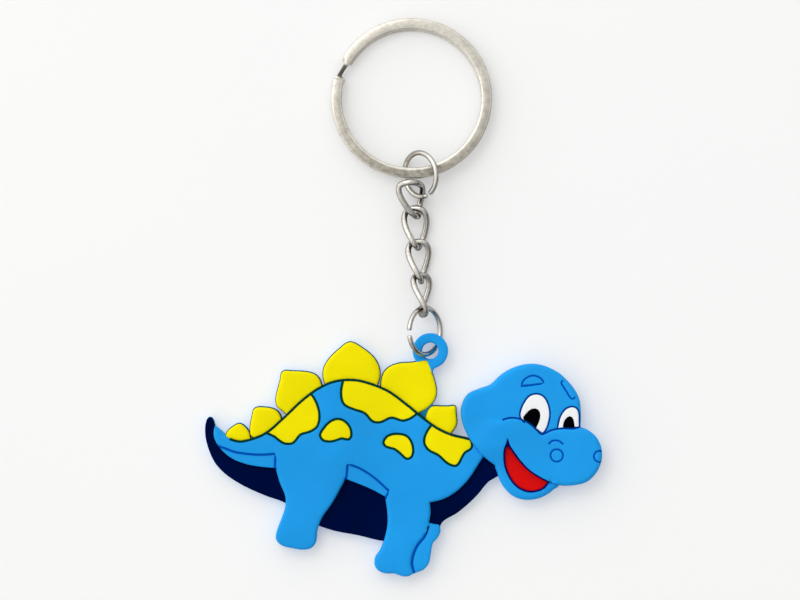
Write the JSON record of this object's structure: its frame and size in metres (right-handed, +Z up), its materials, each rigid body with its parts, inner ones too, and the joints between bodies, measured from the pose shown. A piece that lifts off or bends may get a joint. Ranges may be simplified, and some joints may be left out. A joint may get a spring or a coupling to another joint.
{
  "type": "charm keychain",
  "caption": "Flat soft moulded dinosaur charm hung from a round split ring by open jump rings and a short twisted-link chain; the split ring holds keys or a zip pull.",
  "frame": {"origin": "centre of the footprint at table height, with the keychain lying on its back", "axes": "+X to the right across the charm, towards its snout; +Y from the charm up to the split ring; +Z up out of the charm's face"},
  "size_m": [0.0615, 0.0866, 0.0061],
  "materials": {
    "nickel": "nickel plated wire, satin",
    "pvc_blue": "soft moulded PVC, satin matte",
    "pvc_yellow": "soft moulded PVC, satin matte",
    "pvc_navy": "soft moulded PVC, satin matte",
    "pvc_dark_green": "poured outline, satin",
    "pvc_royal": "poured line, satin",
    "pvc_ink": "poured line, satin",
    "pvc_red": "soft moulded PVC, satin",
    "pvc_white": "soft moulded PVC, satin",
    "pvc_black": "soft moulded PVC, satin"
  },
  "bodies": {
    "split_ring": {"split_ring": "nickel"},
    "top_jump_ring": {"top_jump_ring": "nickel"},
    "chain_link_1": {"chain_link_1": "nickel"},
    "chain_link_2": {"chain_link_2": "nickel"},
    "chain_link_3": {"chain_link_3": "nickel"},
    "chain_link_4": {"chain_link_4": "nickel"},
    "lower_jump_ring": {"lower_jump_ring": "nickel"},
    "charm": {"backing_layer": "pvc_blue", "hanging_eyelet": "pvc_blue", "navy_layer": "pvc_navy", "torso": "pvc_blue", "tail_strip": "pvc_blue", "crotch_strip": "pvc_blue", "far_foreleg": "pvc_blue", "plate_1": "pvc_yellow", "plate_2": "pvc_yellow", "plate_3": "pvc_yellow", "plate_4": "pvc_yellow", "plate_5": "pvc_yellow", "plate_6": "pvc_yellow", "patch_1": "pvc_yellow", "patch_2": "pvc_yellow", "patch_3": "pvc_yellow", "patch_4": "pvc_yellow", "patch_5": "pvc_yellow", "patch_outline": "pvc_dark_green", "body_line": "pvc_royal", "head": "pvc_blue", "muzzle": "pvc_blue", "jaw": "pvc_blue", "mouth": "pvc_red", "near_eye": "pvc_white", "far_eye": "pvc_white", "near_pupil": "pvc_black", "far_pupil": "pvc_black", "face_line": "pvc_ink", "nostril_line": "pvc_ink"}
  },
  "joints": [
    {"name": "split_ring_to_top_jump_ring", "type": "hinge", "parent": "split_ring", "child": "top_jump_ring", "pos_m": [0.00215, 0.01922, 0.0022], "axis": [1, 0, 0], "range_deg": [-60, 60]},
    {"name": "top_jump_ring_to_link_1", "type": "hinge", "parent": "top_jump_ring", "child": "chain_link_1", "pos_m": [0.0023, 0.01571, 0.00199], "axis": [0.7104, -0.2271, 0.6661], "range_deg": [-20, 50]},
    {"name": "link_1_to_link_2", "type": "hinge", "parent": "chain_link_1", "child": "chain_link_2", "pos_m": [0.00232, 0.01274, 0.0015], "axis": [0.1633, 0.534, -0.8295], "range_deg": [-60, 5]},
    {"name": "link_2_to_link_3", "type": "hinge", "parent": "chain_link_2", "child": "chain_link_3", "pos_m": [0.00211, 0.00863, 0.00216], "axis": [-0.9916, -0.0948, 0.0879], "range_deg": [-35, 35]},
    {"name": "link_3_to_link_4", "type": "hinge", "parent": "chain_link_3", "child": "chain_link_4", "pos_m": [0.00249, 0.00313, 0.00358], "axis": [0.4178, -0.7754, -0.4736], "range_deg": [-5, 50]},
    {"name": "link_4_to_lower_jump_ring", "type": "hinge", "parent": "chain_link_4", "child": "lower_jump_ring", "pos_m": [0.00272, -0.00171, 0.0037], "axis": [-0.6497, -0.2393, 0.7216], "range_deg": [-40, 40]},
    {"name": "lower_jump_ring_to_charm", "type": "hinge", "parent": "lower_jump_ring", "child": "charm", "pos_m": [0.0033, -0.0052, 0.00305], "axis": [0.7431, 0, 0.6691], "range_deg": [-50, 50]}
  ]
}
